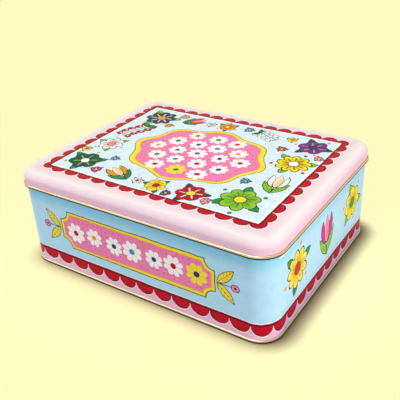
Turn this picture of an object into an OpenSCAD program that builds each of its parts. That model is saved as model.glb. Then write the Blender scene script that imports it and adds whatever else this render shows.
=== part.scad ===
// Rectangular lunch tin in three pieces of tinplate: a drawn slip lid with a
// rolled rim, a wrapped wall with a curled top edge and a lock seam up its
// back, and a recessed base plate held by a double seam that the tin stands
// on. The lid lifts straight off.

/* [Tin] */
// Length over the skirt of the lid
tin_w = 200; // [150:1:280]
// Depth over the skirt of the lid, front to back
tin_d = 158; // [110:1:220]
// Height of the closed tin
tin_h = 72; // [45:1:120]
// Radius of the upright corners of the lid
corner_r = 15.5; // [13:0.5:40]
// Thickness of the tinplate
sheet_t = 0.28; // [0.22:0.01:0.3]

/* [Lid] */
// Depth of the lid, from its top to the foot of its rim
lid_h = 11.2; // [10:0.1:20]
// Outer radius of the shoulder between the top and the skirt
shoulder_r = 5.4; // [4:0.1:7]
// How far the rolled rim stands out from the skirt
rim_out = 1; // [0.9:0.05:1.4]
// Height of the rolled rim
rim_h = 2.4; // [2.2:0.1:3.4]
// Gap between the skirt of the lid and the wall inside it
slip_gap = 0.77; // [0.4:0.01:1]

/* [Wall] */
// Diameter of the curl that rounds off the top edge
curl_d = 1.8; // [1.6:0.1:2.4]
// Width of the lock seam up the back
lock_w = 3; // [2.5:0.1:5]

/* [Base] */
// Height of the double seam round the foot
seam_h = 2.2; // [2:0.1:3.2]
// Height of the recess under the base plate
recess_h = 2.6; // [2.4:0.1:5]
// Height of the pressed step that stiffens the base plate
step_h = 0.6; // [0.4:0.1:1]
// Distance of that step from the wall
step_in = 8; // [5:0.5:9]

/* [Hidden] */
$fn = 96;

// Upright gap kept between the lid and the curl that it rests on
seat_gap = 0.3;
// Gap between the folded layers of a seam, and from one layer to the next
fold_gap = 0.03;
pitch = sheet_t + fold_gap;

// A section is drawn with x as the distance outside the lid's skirt and y as
// the height, and these are the middle lines of the sheet in it
skirt_x = -sheet_t / 2;
wall_x = -(sheet_t + slip_gap + sheet_t / 2);

// Lid: the bends at the foot and at the top of its rolled rim
rim_foot_z = tin_h - lid_h;
roll_r = rim_out / 2;
tuck_r = roll_r - sheet_t / 2 - fold_gap / 2;
tuck_drop = 0.4;

// Wall: the curl's roll, set to meet the inside of the lid's shoulder
curl_r = (curl_d - sheet_t) / 2;
curl_sweep = 290;
curl_x = wall_x - curl_r;
shoulder_reach = shoulder_r - sheet_t - curl_d / 2 - seat_gap;
curl_z = tin_h - shoulder_r + sqrt(pow(shoulder_reach, 2) - pow(shoulder_r + curl_x, 2));

// Double seam: bends of the base plate round the foot, and of the wall in it
foot_r = pitch + sheet_t / 2 + 0.05;
hook_r = foot_r - pitch;
seam_top_z = seam_h - pitch - sheet_t / 2;
hook_end_gap = 0.05;
cover_end_z = sheet_t + pitch + 0.15;

// Base plate: its two levels, and the quarter bends and S-bends between them
panel_z = recess_h + sheet_t / 2;
raised_z = panel_z + step_h;
chuck_r = 0.7;
step_angle = 45;
step_r = step_h / (2 * (1 - cos(step_angle)));
step_x = wall_x - step_in - 2 * step_r * sin(step_angle);

// Lock seam: where it starts and stops, and how far it reaches each way
lock_low_z = recess_h + step_h + 1;
lock_high_z = curl_z - curl_d / 2 - 1;
lock_reach = lock_w / 2 + 6 * pitch;
lock_end_gap = 0.1;

// Bends wider than this are cut into finer steps
wide_bend = 2;
fine_step = 7.5;
coarse_step = 18;

// A sheet's path is a list of bends [x, y, radius, first angle, last angle].
// A bend with no radius is a cut edge: its angle is the way that the right
// hand side of the sheet faces there.
function turn(b) = b[4] < b[3] ? -1 : 1;
function bend_steps(b) = ceil(abs(b[4] - b[3]) / (b[2] > wide_bend ? fine_step : coarse_step));
function bend_angle(b, i) = b[3] + (b[4] - b[3]) * i / max(1, bend_steps(b));
function bend_radius(b, side) = b[2] + side * turn(b) * sheet_t / 2;
function bend_side(b, side) =
    [for (i = [0:bend_steps(b)])
        [b[0], b[1]] + bend_radius(b, side) * [cos(bend_angle(b, i)), sin(bend_angle(b, i))]];
function path_side(path, side) = [for (b = path) each bend_side(b, side)];
function reversed(list) = [for (i = [len(list) - 1:-1:0]) list[i]];
function sheet_outline(path) = concat(path_side(path, 1), reversed(path_side(path, -1)));

// Section of the lid, from the middle of its top outward and down to the rim
lid_path = [
    [-corner_r, tin_h - sheet_t / 2, 0, -90, -90],
    [-shoulder_r, tin_h - shoulder_r, shoulder_r - sheet_t / 2, 90, 0],
    [skirt_x + roll_r, rim_foot_z + roll_r + sheet_t / 2, roll_r, 180, 360],
    [skirt_x + 2 * roll_r - tuck_r, rim_foot_z + rim_h - tuck_r - sheet_t / 2, tuck_r, 0, 180],
    [skirt_x + 2 * roll_r - 2 * tuck_r, rim_foot_z + rim_h - tuck_r - sheet_t / 2 - tuck_drop, 0, 180, 180]
];

// Section of the wall, from its hook in the double seam up to the curl
wall_path = [
    [wall_x + 2 * pitch, seam_top_z - hook_end_gap, 0, 180, 180],
    [wall_x + 2 * pitch - hook_r, sheet_t / 2 + foot_r, hook_r, 0, -90],
    [wall_x + hook_r, sheet_t / 2 + foot_r, hook_r, -90, -180],
    [curl_x, curl_z, curl_r, 0, curl_sweep]
];

// Section of the base plate, from its middle outward, down inside the wall,
// round the foot and over the wall's hook
base_path = [
    [-corner_r, raised_z, 0, -90, -90],
    [step_x, raised_z - step_r, step_r, 90, 90 - step_angle],
    [step_x + 2 * step_r * sin(step_angle), panel_z + step_r, step_r, 270 - step_angle, 270],
    [wall_x - pitch - chuck_r, panel_z - chuck_r, chuck_r, 90, 0],
    [wall_x - pitch + foot_r, sheet_t / 2 + foot_r, foot_r, 180, 270],
    [wall_x + 3 * pitch - foot_r, sheet_t / 2 + foot_r, foot_r, 270, 360],
    [wall_x + 2 * pitch, seam_top_z, pitch, 0, 180],
    [wall_x + pitch, cover_end_z, 0, 180, 180]
];

// Plan of the lock seam, x along the back wall and y out of it: two hooks
// that hold each other, flush outside and four layers deep inside
lock_left_path = [
    [-lock_reach, 0, 0, -90, -90],
    [lock_w / 2, -pitch, pitch, 90, -90],
    [-lock_w / 2 + lock_end_gap, -2 * pitch, 0, 90, 90]
];
lock_right_path = [
    [lock_reach, 0, 0, 90, 90],
    [lock_w / 2 + 6 * pitch * cos(30), -4 * pitch, 4 * pitch, 90, 150],
    [lock_w / 2, -pitch, 2 * pitch, -30, -90],
    [-lock_w / 2, -2 * pitch, pitch, -90, -270],
    [lock_w / 2 - lock_end_gap, -pitch, 0, -90, -90]
];

// One sheet section carried round the tin: four straight runs, four corners
module round_tin(path) {
    for (i = [0:3]) {
        reach = (i % 2 == 0 ? tin_w : tin_d) / 2;
        run = (i % 2 == 0 ? tin_d : tin_w) - 2 * corner_r;
        rotate(90 * i) {
            translate([reach, 0, 0])
                rotate([90, 0, 0])
                linear_extrude(run, center = true)
                polygon(sheet_outline(path));
            translate([reach - corner_r, run / 2, 0])
                rotate_extrude(angle = 90)
                translate([corner_r, 0])
                polygon(sheet_outline(path));
        }
    }
}

// The flat middle of a panel, between the straight runs
module panel_middle(z) {
    translate([0, 0, z])
        cube([tin_w - 2 * corner_r, tin_d - 2 * corner_r, sheet_t], center = true);
}

// The two folded ends of the wall, over the height of the lock seam
module lock_seam() {
    translate([0, tin_d / 2 + wall_x, lock_low_z])
        linear_extrude(lock_high_z - lock_low_z) {
            polygon(sheet_outline(lock_left_path));
            polygon(sheet_outline(lock_right_path));
        }
}

// The stretch of plain wall that the lock seam takes the place of
module lock_window() {
    translate([-lock_reach, tin_d / 2 + wall_x - sheet_t, lock_low_z])
        cube([2 * lock_reach, 2 * sheet_t, lock_high_z - lock_low_z]);
}

module lid() {
    color("pink") {
        round_tin(lid_path);
        panel_middle(tin_h - sheet_t / 2);
    }
}

module body_wall() {
    color("lightblue") {
        difference() {
            round_tin(wall_path);
            lock_window();
        }
        lock_seam();
    }
}

module base_plate() {
    color("silver") {
        round_tin(base_path);
        panel_middle(raised_z);
    }
}

lid();
body_wall();
base_plate();
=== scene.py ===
# %% [markdown]
# # A lunch tin in printed tinplate
# The tin is three pieces of thin steel: a lid with a rolled rim, a wall that
# is wrapped round and locked up its back, and a base held by a double seam.
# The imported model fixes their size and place. This notebook makes the same
# pieces as smooth sheet metal and prints them, and it starts by loading the
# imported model, so that every number below is measured in the same frame.

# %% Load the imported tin
from math import atan2, ceil, cos, pi, radians, sin

import bmesh
import bpy
from mathutils import Matrix, Vector


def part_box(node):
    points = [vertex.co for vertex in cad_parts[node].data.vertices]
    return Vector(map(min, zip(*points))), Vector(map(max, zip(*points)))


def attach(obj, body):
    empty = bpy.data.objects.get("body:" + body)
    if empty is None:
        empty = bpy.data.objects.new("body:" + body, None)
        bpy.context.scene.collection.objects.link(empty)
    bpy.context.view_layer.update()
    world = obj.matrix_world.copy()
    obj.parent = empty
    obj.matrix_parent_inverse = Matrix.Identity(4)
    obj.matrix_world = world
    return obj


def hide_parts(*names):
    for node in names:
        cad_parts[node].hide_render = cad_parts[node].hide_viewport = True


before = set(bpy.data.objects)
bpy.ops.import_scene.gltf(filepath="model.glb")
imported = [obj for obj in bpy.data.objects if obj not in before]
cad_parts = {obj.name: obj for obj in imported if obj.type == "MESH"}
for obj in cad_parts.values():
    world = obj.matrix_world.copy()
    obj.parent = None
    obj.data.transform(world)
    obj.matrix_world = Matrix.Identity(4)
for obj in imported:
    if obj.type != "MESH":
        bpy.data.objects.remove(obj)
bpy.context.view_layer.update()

# %% [markdown]
# ## The tin's measures
# A tinsmith works from a few numbers: the size over the lid's skirt, the
# radius of the corners, and the gauge of the sheet. The outside sizes are read
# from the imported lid. The rest are the same small sizes that its folds have.

# %% Sizes, in metres
MM = 0.001
SHEET = 0.28 * MM          # gauge of the tinplate
FOLD_GAP = 0.03 * MM       # air between folded layers
PITCH = SHEET + FOLD_GAP   # from one folded layer to the next
RIM_OUT = 1.0 * MM         # how far the lid's rim stands out
CORNER_R = 15.5 * MM       # upright corners, at the lid's skirt

lid_low, lid_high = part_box("lid")
wall_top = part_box("body_wall")[1].z
HALF_X = lid_high.x - RIM_OUT
HALF_Y = lid_high.y - RIM_OUT
TIN_H = lid_high.z
RIM_FOOT = lid_low.z
CORE_X = HALF_X - CORNER_R
CORE_Y = HALF_Y - CORNER_R
SLIP_GAP = 0.77 * MM       # between the skirt and the wall inside it
WALL = -(SHEET + SLIP_GAP + SHEET / 2)   # the wall's middle line, measured out from the skirt
print("skirt", 2 * HALF_X / MM, "x", 2 * HALF_Y / MM, "mm, height", TIN_H / MM)

# %% [markdown]
# ## Bending a sheet
# Every piece here is one sheet, folded, so each starts as a wire that follows
# the middle of the sheet in section. A bend is written as a centre, a radius
# and two angles. Spinning the wire's last point about that centre draws the
# bend as a true arc, however far it curls, which a bevel couldn't do for a
# rolled edge that turns through most of a circle.

# %% A wire that follows a section
WIDE_BEND = 2 * MM
FINE_STEP, COARSE_STEP = 7.5, 15     # degrees to one step, on wide bends and on tight ones


def bend_wire(bm, bends, place, axis):
    """Draws the wire through bends (across, up, radius, first angle, last angle) and returns its edges."""
    tip = None
    for across, up, radius, first, last in bends:
        start = bm.verts.new(place(across + radius * cos(radians(first)), up + radius * sin(radians(first))))
        if tip is not None:
            bm.edges.new((tip, start))
        tip = start
        if radius:
            step = FINE_STEP if radius > WIDE_BEND else COARSE_STEP
            swept = bmesh.ops.spin(
                bm, geom=[tip], cent=place(across, up), axis=axis, dvec=(0, 0, 0),
                angle=radians(last - first), steps=ceil(abs(last - first) / step),
                use_merge=False, use_normal_flip=False, use_duplicate=False)
            tip = next(v for v in swept["geom_last"] if isinstance(v, bmesh.types.BMVert))
    return bm.edges[:]


def in_section(across, up):
    """A point of a section, at the near end of the right-hand side: across is outwards from the skirt."""
    return Vector((HALF_X + across, -CORE_Y, up))


print("sections start at", [round(c / MM, 1) for c in in_section(0, 0)], "mm")

# %% [markdown]
# ## Carrying the section round the tin
# A tin of this shape is four straight sides and four quarter turns. The wire
# is extruded along a side, spun about the next corner's centre, and so on
# until it meets itself. The seam where it closes is then merged away.

# %% Four sides, four corners
CORNERS = ((1, 1), (-1, 1), (-1, -1), (1, -1))     # signs of x and y, as the sheet comes to them
CORNER_STEPS = 20
MERGE = 0.002 * MM         # points nearer than this are one point


def edges_among(items, verts):
    kept = set(verts)
    return [e for e in items if isinstance(e, bmesh.types.BMEdge) and set(e.verts) <= kept]


def carry_round(bm, wire):
    """Sweeps a wire that stands at the right-hand side once round the tin."""
    for side, (sign_x, sign_y) in enumerate(CORNERS):
        turn = Matrix.Rotation(side * pi / 2, 3, "Z")
        run = 2 * (CORE_Y if side % 2 == 0 else CORE_X)
        centre = Vector((CORE_X * sign_x, CORE_Y * sign_y, 0))
        grown = bmesh.ops.extrude_edge_only(bm, edges=wire)["geom"]
        verts = [v for v in grown if isinstance(v, bmesh.types.BMVert)]
        bmesh.ops.translate(bm, vec=turn @ Vector((0, run, 0)), verts=verts)
        spun = bmesh.ops.spin(
            bm, geom=verts + edges_among(grown, verts), cent=centre, axis=(0, 0, 1), dvec=(0, 0, 0),
            angle=pi / 2, steps=CORNER_STEPS, use_merge=False, use_normal_flip=False, use_duplicate=False)
        last = [v for v in spun["geom_last"] if isinstance(v, bmesh.types.BMVert)]
        wire = edges_among(spun["geom_last"], last)
    bmesh.ops.remove_doubles(bm, verts=bm.verts[:], dist=MERGE)


print("a corner turns in", CORNER_STEPS, "steps of", 90 / CORNER_STEPS, "degrees")

# %% [markdown]
# ### Closing the sheet and facing it outwards
# The lid and the base have a flat middle, which fills the four-sided hole that
# the section leaves. The faces are then made to agree before the sheet gets
# its thickness, so that its outside is the side that will be printed.

# %% A whole sheet, facing outwards
def round_sheet(bends, with_middle):
    """A mesh with this section all the way round, and with its flat middle if it has one."""
    bm = bmesh.new()
    carry_round(bm, bend_wire(bm, bends, in_section, (0, -1, 0)))
    if with_middle:
        bmesh.ops.holes_fill(bm, edges=bm.edges[:], sides=4)
    return bm


def face_outwards(bm):
    """Makes all faces agree, with the largest one facing away from the middle of the tin."""
    bmesh.ops.recalc_face_normals(bm, faces=bm.faces[:])
    largest = max(bm.faces, key=lambda face: face.calc_area())
    away = largest.calc_center_median() - Vector((0, 0, TIN_H / 2))
    if largest.normal.dot(away) < 0:
        bmesh.ops.reverse_faces(bm, faces=bm.faces[:])


print("faces look away from a point", round(TIN_H / 2 / MM), "mm above the foot")

# %% [markdown]
# ## Giving the sheet its gauge
# The mesh so far has no thickness. A Solidify modifier spreads it evenly to
# both sides, and it can give the two sides different materials, just as a
# decorator prints one side of the flat sheet and leaves the other bare. That
# is why the rolled rim shows bare metal: it is the inside, turned out. Weighted
# normals keep the broad panels flat beside the fine bends.

# %% From a mesh to a sheet-metal piece
PANEL_WEIGHT = 80          # how firmly the large faces hold their own normals


def sheet_piece(bm, name, outside, inside):
    """Turns the mesh into a sheet with its two finishes, outside first."""
    for face in bm.faces:
        face.smooth = True
    mesh = bpy.data.meshes.new(name)
    bm.to_mesh(mesh)
    bm.free()
    mesh.materials.append(outside)
    mesh.materials.append(inside)
    piece = bpy.data.objects.new(name, mesh)
    bpy.context.scene.collection.objects.link(piece)
    gauge = piece.modifiers.new("gauge", "SOLIDIFY")
    gauge.thickness = SHEET
    gauge.offset = 0
    gauge.use_even_offset = True
    gauge.material_offset = 1
    gauge.material_offset_rim = 1
    flat = piece.modifiers.new("flat_panels", "WEIGHTED_NORMAL")
    flat.weight = PANEL_WEIGHT
    print(name, len(mesh.polygons), "faces before its gauge")
    return piece


print("gauge of the sheet:", round(SHEET / MM, 2), "mm")

# %% [markdown]
# ## Writing a print as arithmetic
# A printed pattern can be worked out from the place on the sheet: how far a
# point is from a petal's edge, or which scallop it lies in. In Blender that
# arithmetic is Math nodes. Placing hundreds of them by hand would hide the
# drawing, so a small class lets plain sums write the nodes, in the order in
# which they are needed.

# %% Sums that become nodes
class Measure:
    """A number worked out at every point of a surface; sums on it add Math nodes to its tree."""

    def __init__(self, socket):
        self.socket = socket
        self.tree = socket.id_data

    def worked(self, operation, *others, clamp=False):
        node = self.tree.nodes.new("ShaderNodeMath")
        node.operation = operation
        node.use_clamp = clamp
        for entry, given in zip(node.inputs, (self, *others)):
            feed(given, entry)
        return Measure(node.outputs[0])

    def __add__(self, other):
        return self.worked("ADD", other)

    def __sub__(self, other):
        return self.worked("SUBTRACT", other)

    def __rsub__(self, other):
        return self.worked("MULTIPLY_ADD", -1, other)

    def __mul__(self, other):
        return self.worked("MULTIPLY", other)

    def __truediv__(self, other):
        return self.worked("DIVIDE", other)

    def __neg__(self):
        return self.worked("MULTIPLY", -1)

    def __abs__(self):
        return self.worked("ABSOLUTE")

    def most(self, other):
        return self.worked("MAXIMUM", other)

    def least(self, other):
        return self.worked("MINIMUM", other)


print("a measure can be added, taken away, multiplied, divided and compared")

# %% [markdown]
# ### Feeding a node, and naming an ink
# A node's entry takes either a link or a plain value, and `feed` tells them
# apart, so that the drawings don't have to. An ink is written as a printer's
# proof shows it, from 0 to 255, and turned into the light that Blender wants.

# %% Links, values and inks
def feed(given, entry):
    """Links a measure or a socket to a node's entry, or writes a plain value into it."""
    if isinstance(given, Measure):
        given = given.socket
    if isinstance(given, bpy.types.NodeSocket):
        entry.id_data.links.new(given, entry)
    else:
        entry.default_value = given


def ink(red, green, blue):
    """A colour named as a printer's proof shows it, 0 to 255, turned into light."""
    parts = (red / 255, green / 255, blue / 255)
    return tuple(p / 12.92 if p <= 0.04045 else ((p + 0.055) / 1.055) ** 2.4 for p in parts) + (1.0,)


print("a middle grey on the proof is", round(ink(128, 128, 128)[0], 3), "of full light")

# %% [markdown]
# ## Masks and inks
# Every shape is a distance in millimetres from its edge, less than nothing
# inside. `filled` turns that into a mask with a soft edge about as fine as a
# printed dot, and `lined` keeps a pen line along the edge. `painted` lays one
# ink over another. Distances are used because they can be added, bent and
# outlined, which a black and white mask can't.

# %% Filling, lining and painting
SOFT_EDGE = 0.16


def filled(distance, soft=SOFT_EDGE):
    return distance.worked("MULTIPLY_ADD", -1 / soft, 0.5, clamp=True)


def lined(distance, width):
    return filled(abs(distance) - width / 2)


def painted(under, mask, over):
    node = mask.tree.nodes.new("ShaderNodeMix")
    node.data_type = "RGBA"
    feed(mask, node.inputs[0])
    feed(under, node.inputs[6])
    feed(over, node.inputs[7])
    return Measure(node.outputs[2])


def ramped(value, start, end):
    """0 up to start, 1 from end on, and straight between them, whichever of the two is the larger."""
    node = value.tree.nodes.new("ShaderNodeMapRange")
    feed(value, node.inputs["Value"])
    node.inputs["From Min"].default_value = start
    node.inputs["From Max"].default_value = end
    return Measure(node.outputs[0])


print("a printed edge is", SOFT_EDGE, "mm soft")

# %% [markdown]
# ## Places on the sheet
# A place is a vector in millimetres. It is moved, parted into its numbers and
# put together again. A colour is a vector too, so it can be multiplied by the
# same helper, which is how an ink is laid on thicker.

# %% Moving, parting and measuring a place
def vector_sum(operation, first, *others):
    node = first.tree.nodes.new("ShaderNodeVectorMath")
    node.operation = operation
    feed(first, node.inputs[0])
    for entry, given in zip(node.inputs[1:], others):
        feed(given, entry)
    return node


def times(vector, share):
    """A vector or a colour times a number: an ink laid on thicker is its colour times less than 1."""
    node = vector_sum("SCALE", vector)
    feed(share, node.inputs["Scale"])
    return Measure(node.outputs[0])


def moved(spot, by):
    return Measure(vector_sum("ADD", spot, by).outputs[0])


def parted(spot):
    """The three parts of a vector."""
    node = spot.tree.nodes.new("ShaderNodeSeparateXYZ")
    feed(spot, node.inputs[0])
    return [Measure(out) for out in node.outputs]


def spot_at(x, y):
    node = x.tree.nodes.new("ShaderNodeCombineXYZ")
    feed(x, node.inputs[0])
    feed(y, node.inputs[1])
    return Measure(node.outputs[0])


def length(x, y):
    return Measure(vector_sum("LENGTH", spot_at(x, y)).outputs["Value"])


print("one millimetre on the sheet is", MM, "m in the frame")

# %% [markdown]
# ### Noise and turned axes
# Soft noise, read at a place, gives the small unevenness that a print and a
# rolled sheet both have. A petal or a leaf is drawn upright, on axes that are
# turned to where it stands: that is easier than bending its formula.

# %% Noise and turned axes
def noise(spot, per_mm, detail=2.0, rough=0.5, flat=True):
    """Soft noise between 0 and 1, and the same as a colour, with so many lumps to a millimetre."""
    node = spot.tree.nodes.new("ShaderNodeTexNoise")
    node.noise_dimensions = "2D" if flat else "3D"
    feed(spot, node.inputs["Vector"])
    node.inputs["Scale"].default_value = per_mm
    node.inputs["Detail"].default_value = detail
    node.inputs["Roughness"].default_value = rough
    return Measure(node.outputs[0]), Measure(node.outputs[1])


def spun_about(x, y, degrees):
    """The same point on axes turned by that angle."""
    c, s = cos(radians(degrees)), sin(radians(degrees))
    return x * c + y * s, y * c - x * s


print("turned a quarter, (1, 0) reads", [round(part) for part in spun_about(1, 0, 90)])

# %% [markdown]
# ## Groups with named sockets
# What more than one print needs is built once as a node group, with named
# entries and exits, and is then placed wherever it is wanted.

# %% Starting, ending and placing a group
SOCKETS = {"value": "NodeSocketFloat", "colour": "NodeSocketColor", "spot": "NodeSocketVector"}


def start_group(name, entries, exits):
    group = bpy.data.node_groups.new(name, "ShaderNodeTree")
    for label, kind in entries.items():
        group.interface.new_socket(name=label, in_out="INPUT", socket_type=SOCKETS[kind])
    for label, kind in exits.items():
        group.interface.new_socket(name=label, in_out="OUTPUT", socket_type=SOCKETS[kind])
    inside = group.nodes.new("NodeGroupInput")
    return group, [Measure(inside.outputs[label]) for label in entries]


def end_group(group, **results):
    outside = group.nodes.new("NodeGroupOutput")
    for label, result in results.items():
        feed(result, outside.inputs[label])
    print("group", group.name, "has", len(group.nodes), "nodes")
    return group


def placed(group, tree, **given):
    """Places a group and returns what it puts out: one measure, or a list of them."""
    node = tree.nodes.new("ShaderNodeGroup")
    node.node_tree = group
    for label, value in given.items():
        feed(value, node.inputs[label])
    results = [Measure(out) for out in node.outputs]
    return results[0] if len(results) == 1 else results


print("kinds of socket:", ", ".join(SOCKETS))

# %% [markdown]
# ## A hand-drawn line and a watercolour wash
# The print has the look of pen and watercolour. `hand wobble` shifts the place
# that is being drawn by up to its Swing in millimetres, slowly, and adds a
# small tremble, so that no line is quite straight and no two petals are quite
# alike. `ink wash` lets a colour pool and thin as wet paint does.

# %% Wobble and wash
RULED_SWING = 0.45         # for edgings and borders drawn along a ruler
FREE_SWING = 1.2           # for flowers drawn by eye
TREMBLE = 0.3              # the small shake in every line
DRIFT_LUMPS = 0.045        # lumps to a millimetre in the slow swing
TREMBLE_LUMPS = 0.4        # and in the shake
WASH_LUMPS = 0.16          # and in the blotches of the wash


def strayed(spot, per_mm, by):
    """Noise turned into a shift of up to that much each way, in the plane of the sheet."""
    shift = vector_sum("MULTIPLY_ADD", noise(spot, per_mm)[1], (2 * by, 2 * by, 0), (-by, -by, 0))
    return Measure(shift.outputs[0])


hand_wobble, (spot, swing) = start_group("hand wobble", {"Spot": "spot", "Swing": "value"}, {"Spot": "spot"})
drift = times(strayed(spot, DRIFT_LUMPS, 1), swing)
end_group(hand_wobble, Spot=moved(moved(spot, drift), strayed(spot, TREMBLE_LUMPS, TREMBLE)))

ink_wash, (colour, spot, pooling) = start_group(
    "ink wash", {"Colour": "colour", "Spot": "spot", "Pooling": "value"}, {"Colour": "colour"})
wash_pool_and_painted_shade = noise(spot, WASH_LUMPS, detail=4, rough=0.6)[0]
end_group(ink_wash, Colour=times(colour, (wash_pool_and_painted_shade - 0.5) * pooling + 1))

# %% [markdown]
# ## The scalloped edging
# Both the lid and the wall are edged with red half-rounds on a straight line,
# like the trim of a tablecloth. One group draws a row of any pitch and depth
# from two distances: how far along the line, and how far out from it.

# %% A row of scallops
SCALLOP_FILL = 0.485       # half width of a scallop, as a share of the pitch
EDGING_LINE = 0.9          # the darker line round the scallops, in millimetres
LINE_INSET = 0.4           # how far inside their edge it lies, as a share of its own width
EDGING_POOLING = 0.55

scallop_row, (along, out, pitch, depth, notch) = start_group(
    "scallop row", {"Along": "value", "Out": "value", "Pitch": "value", "Depth": "value", "Notch": "value"},
    {"Edge": "value"})
across = (along / pitch).worked("FRACT") - 0.5
round_share = (1 - (across / SCALLOP_FILL).worked("POWER", 2)).most(0).worked("SQRT")
reach = depth * (round_share * (1 - notch) + notch)
end_group(scallop_row, Edge=(out - reach).most(-out))


def edged(under, edging, spot):
    """Lays the red half-rounds on, with a darker line drawn round them."""
    red = placed(ink_wash, under.tree, Colour=RED, Spot=spot, Pooling=EDGING_POOLING)
    under = painted(under, filled(edging), red)
    return painted(under, lined(edging + EDGING_LINE * LINE_INSET, EDGING_LINE), DEEP_RED)


print("a scallop is", round(2 * SCALLOP_FILL, 2), "of its pitch wide")

# %% [markdown]
# ## Pin dots, petals and leaves
# Three small shapes carry the rest of the drawing. Pin dots are the cells of a
# Voronoi texture. A ring of petals folds the circle into as many slices as it
# has petals, so that one oval draws them all. A leaf is the space between two
# arcs that meet at its tips.

# %% Three small shapes
DOT_SPACING = 4.3
DOT_STRAY = 0.7            # 0 would set the dots on a grid, and 1 quite at random
PETAL_MID = 0.62           # a petal's middle, as a share of the ring's reach
LEAF_SWELL = (2.4, 0.8)    # how full a leaf is at its foot, and how much less at its tip
VEIN_STEP = 0.17           # from vein to vein, as a share of the leaf's length
VEIN_SLANT = 0.9

pin_dots, (spot, dot_r) = start_group("pin dots", {"Spot": "spot", "Radius": "value"}, {"Edge": "value"})
cells = pin_dots.nodes.new("ShaderNodeTexVoronoi")
cells.voronoi_dimensions = "2D"
feed(spot, cells.inputs["Vector"])
cells.inputs["Scale"].default_value = 1 / DOT_SPACING
cells.inputs["Randomness"].default_value = DOT_STRAY
end_group(pin_dots, Edge=Measure(cells.outputs["Distance"]) * DOT_SPACING - dot_r)

petal_ring, (x, y, petals, reach, fat) = start_group(
    "petal ring", {"X": "value", "Y": "value", "Petals": "value", "Reach": "value", "Fat": "value"},
    {"Edge": "value", "Seam": "value", "Across": "value", "Away": "value"})
away = length(x, y)
slice_turn = (y.worked("ARCTAN2", x) * petals) / (2 * pi)
share = slice_turn - slice_turn.worked("ROUND")
angle = share * (2 * pi) / petals
petal_mid = reach * PETAL_MID
petal_long = reach * (1 - PETAL_MID)
petal_wide = petal_mid * fat * (petals.worked("POWER", -1) * pi).worked("TANGENT")
petal_x = away * angle.worked("COSINE")
petal_y = away * angle.worked("SINE")
oval = length((petal_x - petal_mid) / petal_long, petal_y / petal_wide)
end_group(petal_ring, Edge=(oval - 1) * petal_wide.least(petal_long), Seam=(0.5 - abs(share)) * away,
          Across=abs(petal_y), Away=away / reach)

leaf_shape, (x, y, leaf_long, leaf_wide) = start_group(
    "leaf shape", {"X": "value", "Y": "value", "Length": "value", "Width": "value"},
    {"Edge": "value", "Rib": "value"})
share = x / leaf_long
at_foot, less_at_tip = LEAF_SWELL
arc = share * (1 - share) * (at_foot - share * less_at_tip) * leaf_wide
edge = (abs(y) - arc).most(-x).most(x - leaf_long)
vein_step = leaf_long * VEIN_STEP
veins = abs(((x - abs(y) * VEIN_SLANT) / vein_step).worked("FRACT") - 0.5) * vein_step
end_group(leaf_shape, Edge=edge, Rib=abs(y).least(veins))

# %% [markdown]
# ## A palette
# The tin's inks: a pale blue and a pink for the grounds, a strong red for the
# edging, and for the flowers the navy, greens, orange, yellows and purples of
# a paint box.

# %% Inks
WHITE = ink(252, 250, 247)
PANEL_BLUE = ink(224, 242, 249)
WALL_BLUE = ink(181, 224, 246)
LID_PINK = ink(247, 236, 236)
BORDER_PINK = ink(243, 217, 221)
# the skirt's and the shoulder's pinks: partly print, partly painted shade down the lid's side
SKIRT_PINK_AND_SHADE = ink(234, 197, 216)
SHOULDER_PINK_AND_SHADE = ink(238, 219, 225)
FOOT_PINK = ink(244, 196, 218)
RED = ink(196, 8, 40)
DEEP_RED = ink(108, 8, 30)
ROSE = ink(240, 132, 178)
ROSE_DOT = ink(196, 62, 118)
YELLOW = ink(248, 226, 60)
LEMON = ink(246, 232, 24)
ORANGE = ink(242, 158, 46)
OLIVE = ink(104, 108, 44)
PEN = ink(26, 30, 42)
NAVY = ink(34, 62, 110)
GREEN = ink(34, 148, 78)
LIME = ink(142, 200, 48)
BOTTLE = ink(20, 84, 74)
MAGENTA = ink(206, 28, 138)
PURPLE = ink(110, 60, 130)
SKY = ink(60, 140, 190)
# a deeper blue for the top of the wall: partly print, partly painted shade under the lid
DEEP_BLUE_AND_SHADE = ink(30, 192, 244)
CREAM = ink(250, 226, 176)
print("the edging's red in light:", [round(part, 3) for part in RED[:3]])

# %% [markdown]
# ## Flowers for the printer: the pen and the leaf
# The pattern is a garden one, in colour first and then lined with a pen, as
# such prints are drawn. The leaf comes with every flower. Its pen line runs
# round the edge and along the rib and veins.

# %% A pen line and a leaf
FINEST_PEN = 0.26          # in millimetres
PEN_GROWS = 0.022          # and this share of the motif's size is added
RIB_HALF = 0.12
INNER_LINE = 0.8           # lines inside a motif are this share of its pen's width


def pen_width(size):
    """A small motif is drawn with a finer pen."""
    return size * PEN_GROWS + FINEST_PEN


def leaf_on(under, x, y, long, wide, colour, pen=0.5):
    """Draws a leaf along x, with its foot at nothing."""
    edge, rib = placed(leaf_shape, under.tree, X=x, Y=y, Length=long, Width=wide)
    under = painted(under, filled(edge), colour)
    return painted(under, (filled(edge) * filled(rib - RIB_HALF)).most(lined(edge, pen)), PEN)


print("pen on a motif of 15 mm:", round(pen_width(15), 2), "mm")

# %% [markdown]
# ### A round bloom
# Petals stand in a ring over three leaves, with three berries between them.
# The circle is folded into thirds for the leaves and into as many slices as
# there are petals, so one leaf and one petal draw them all. The petals deepen
# towards the eye, where the wet colour would run together.

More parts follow.
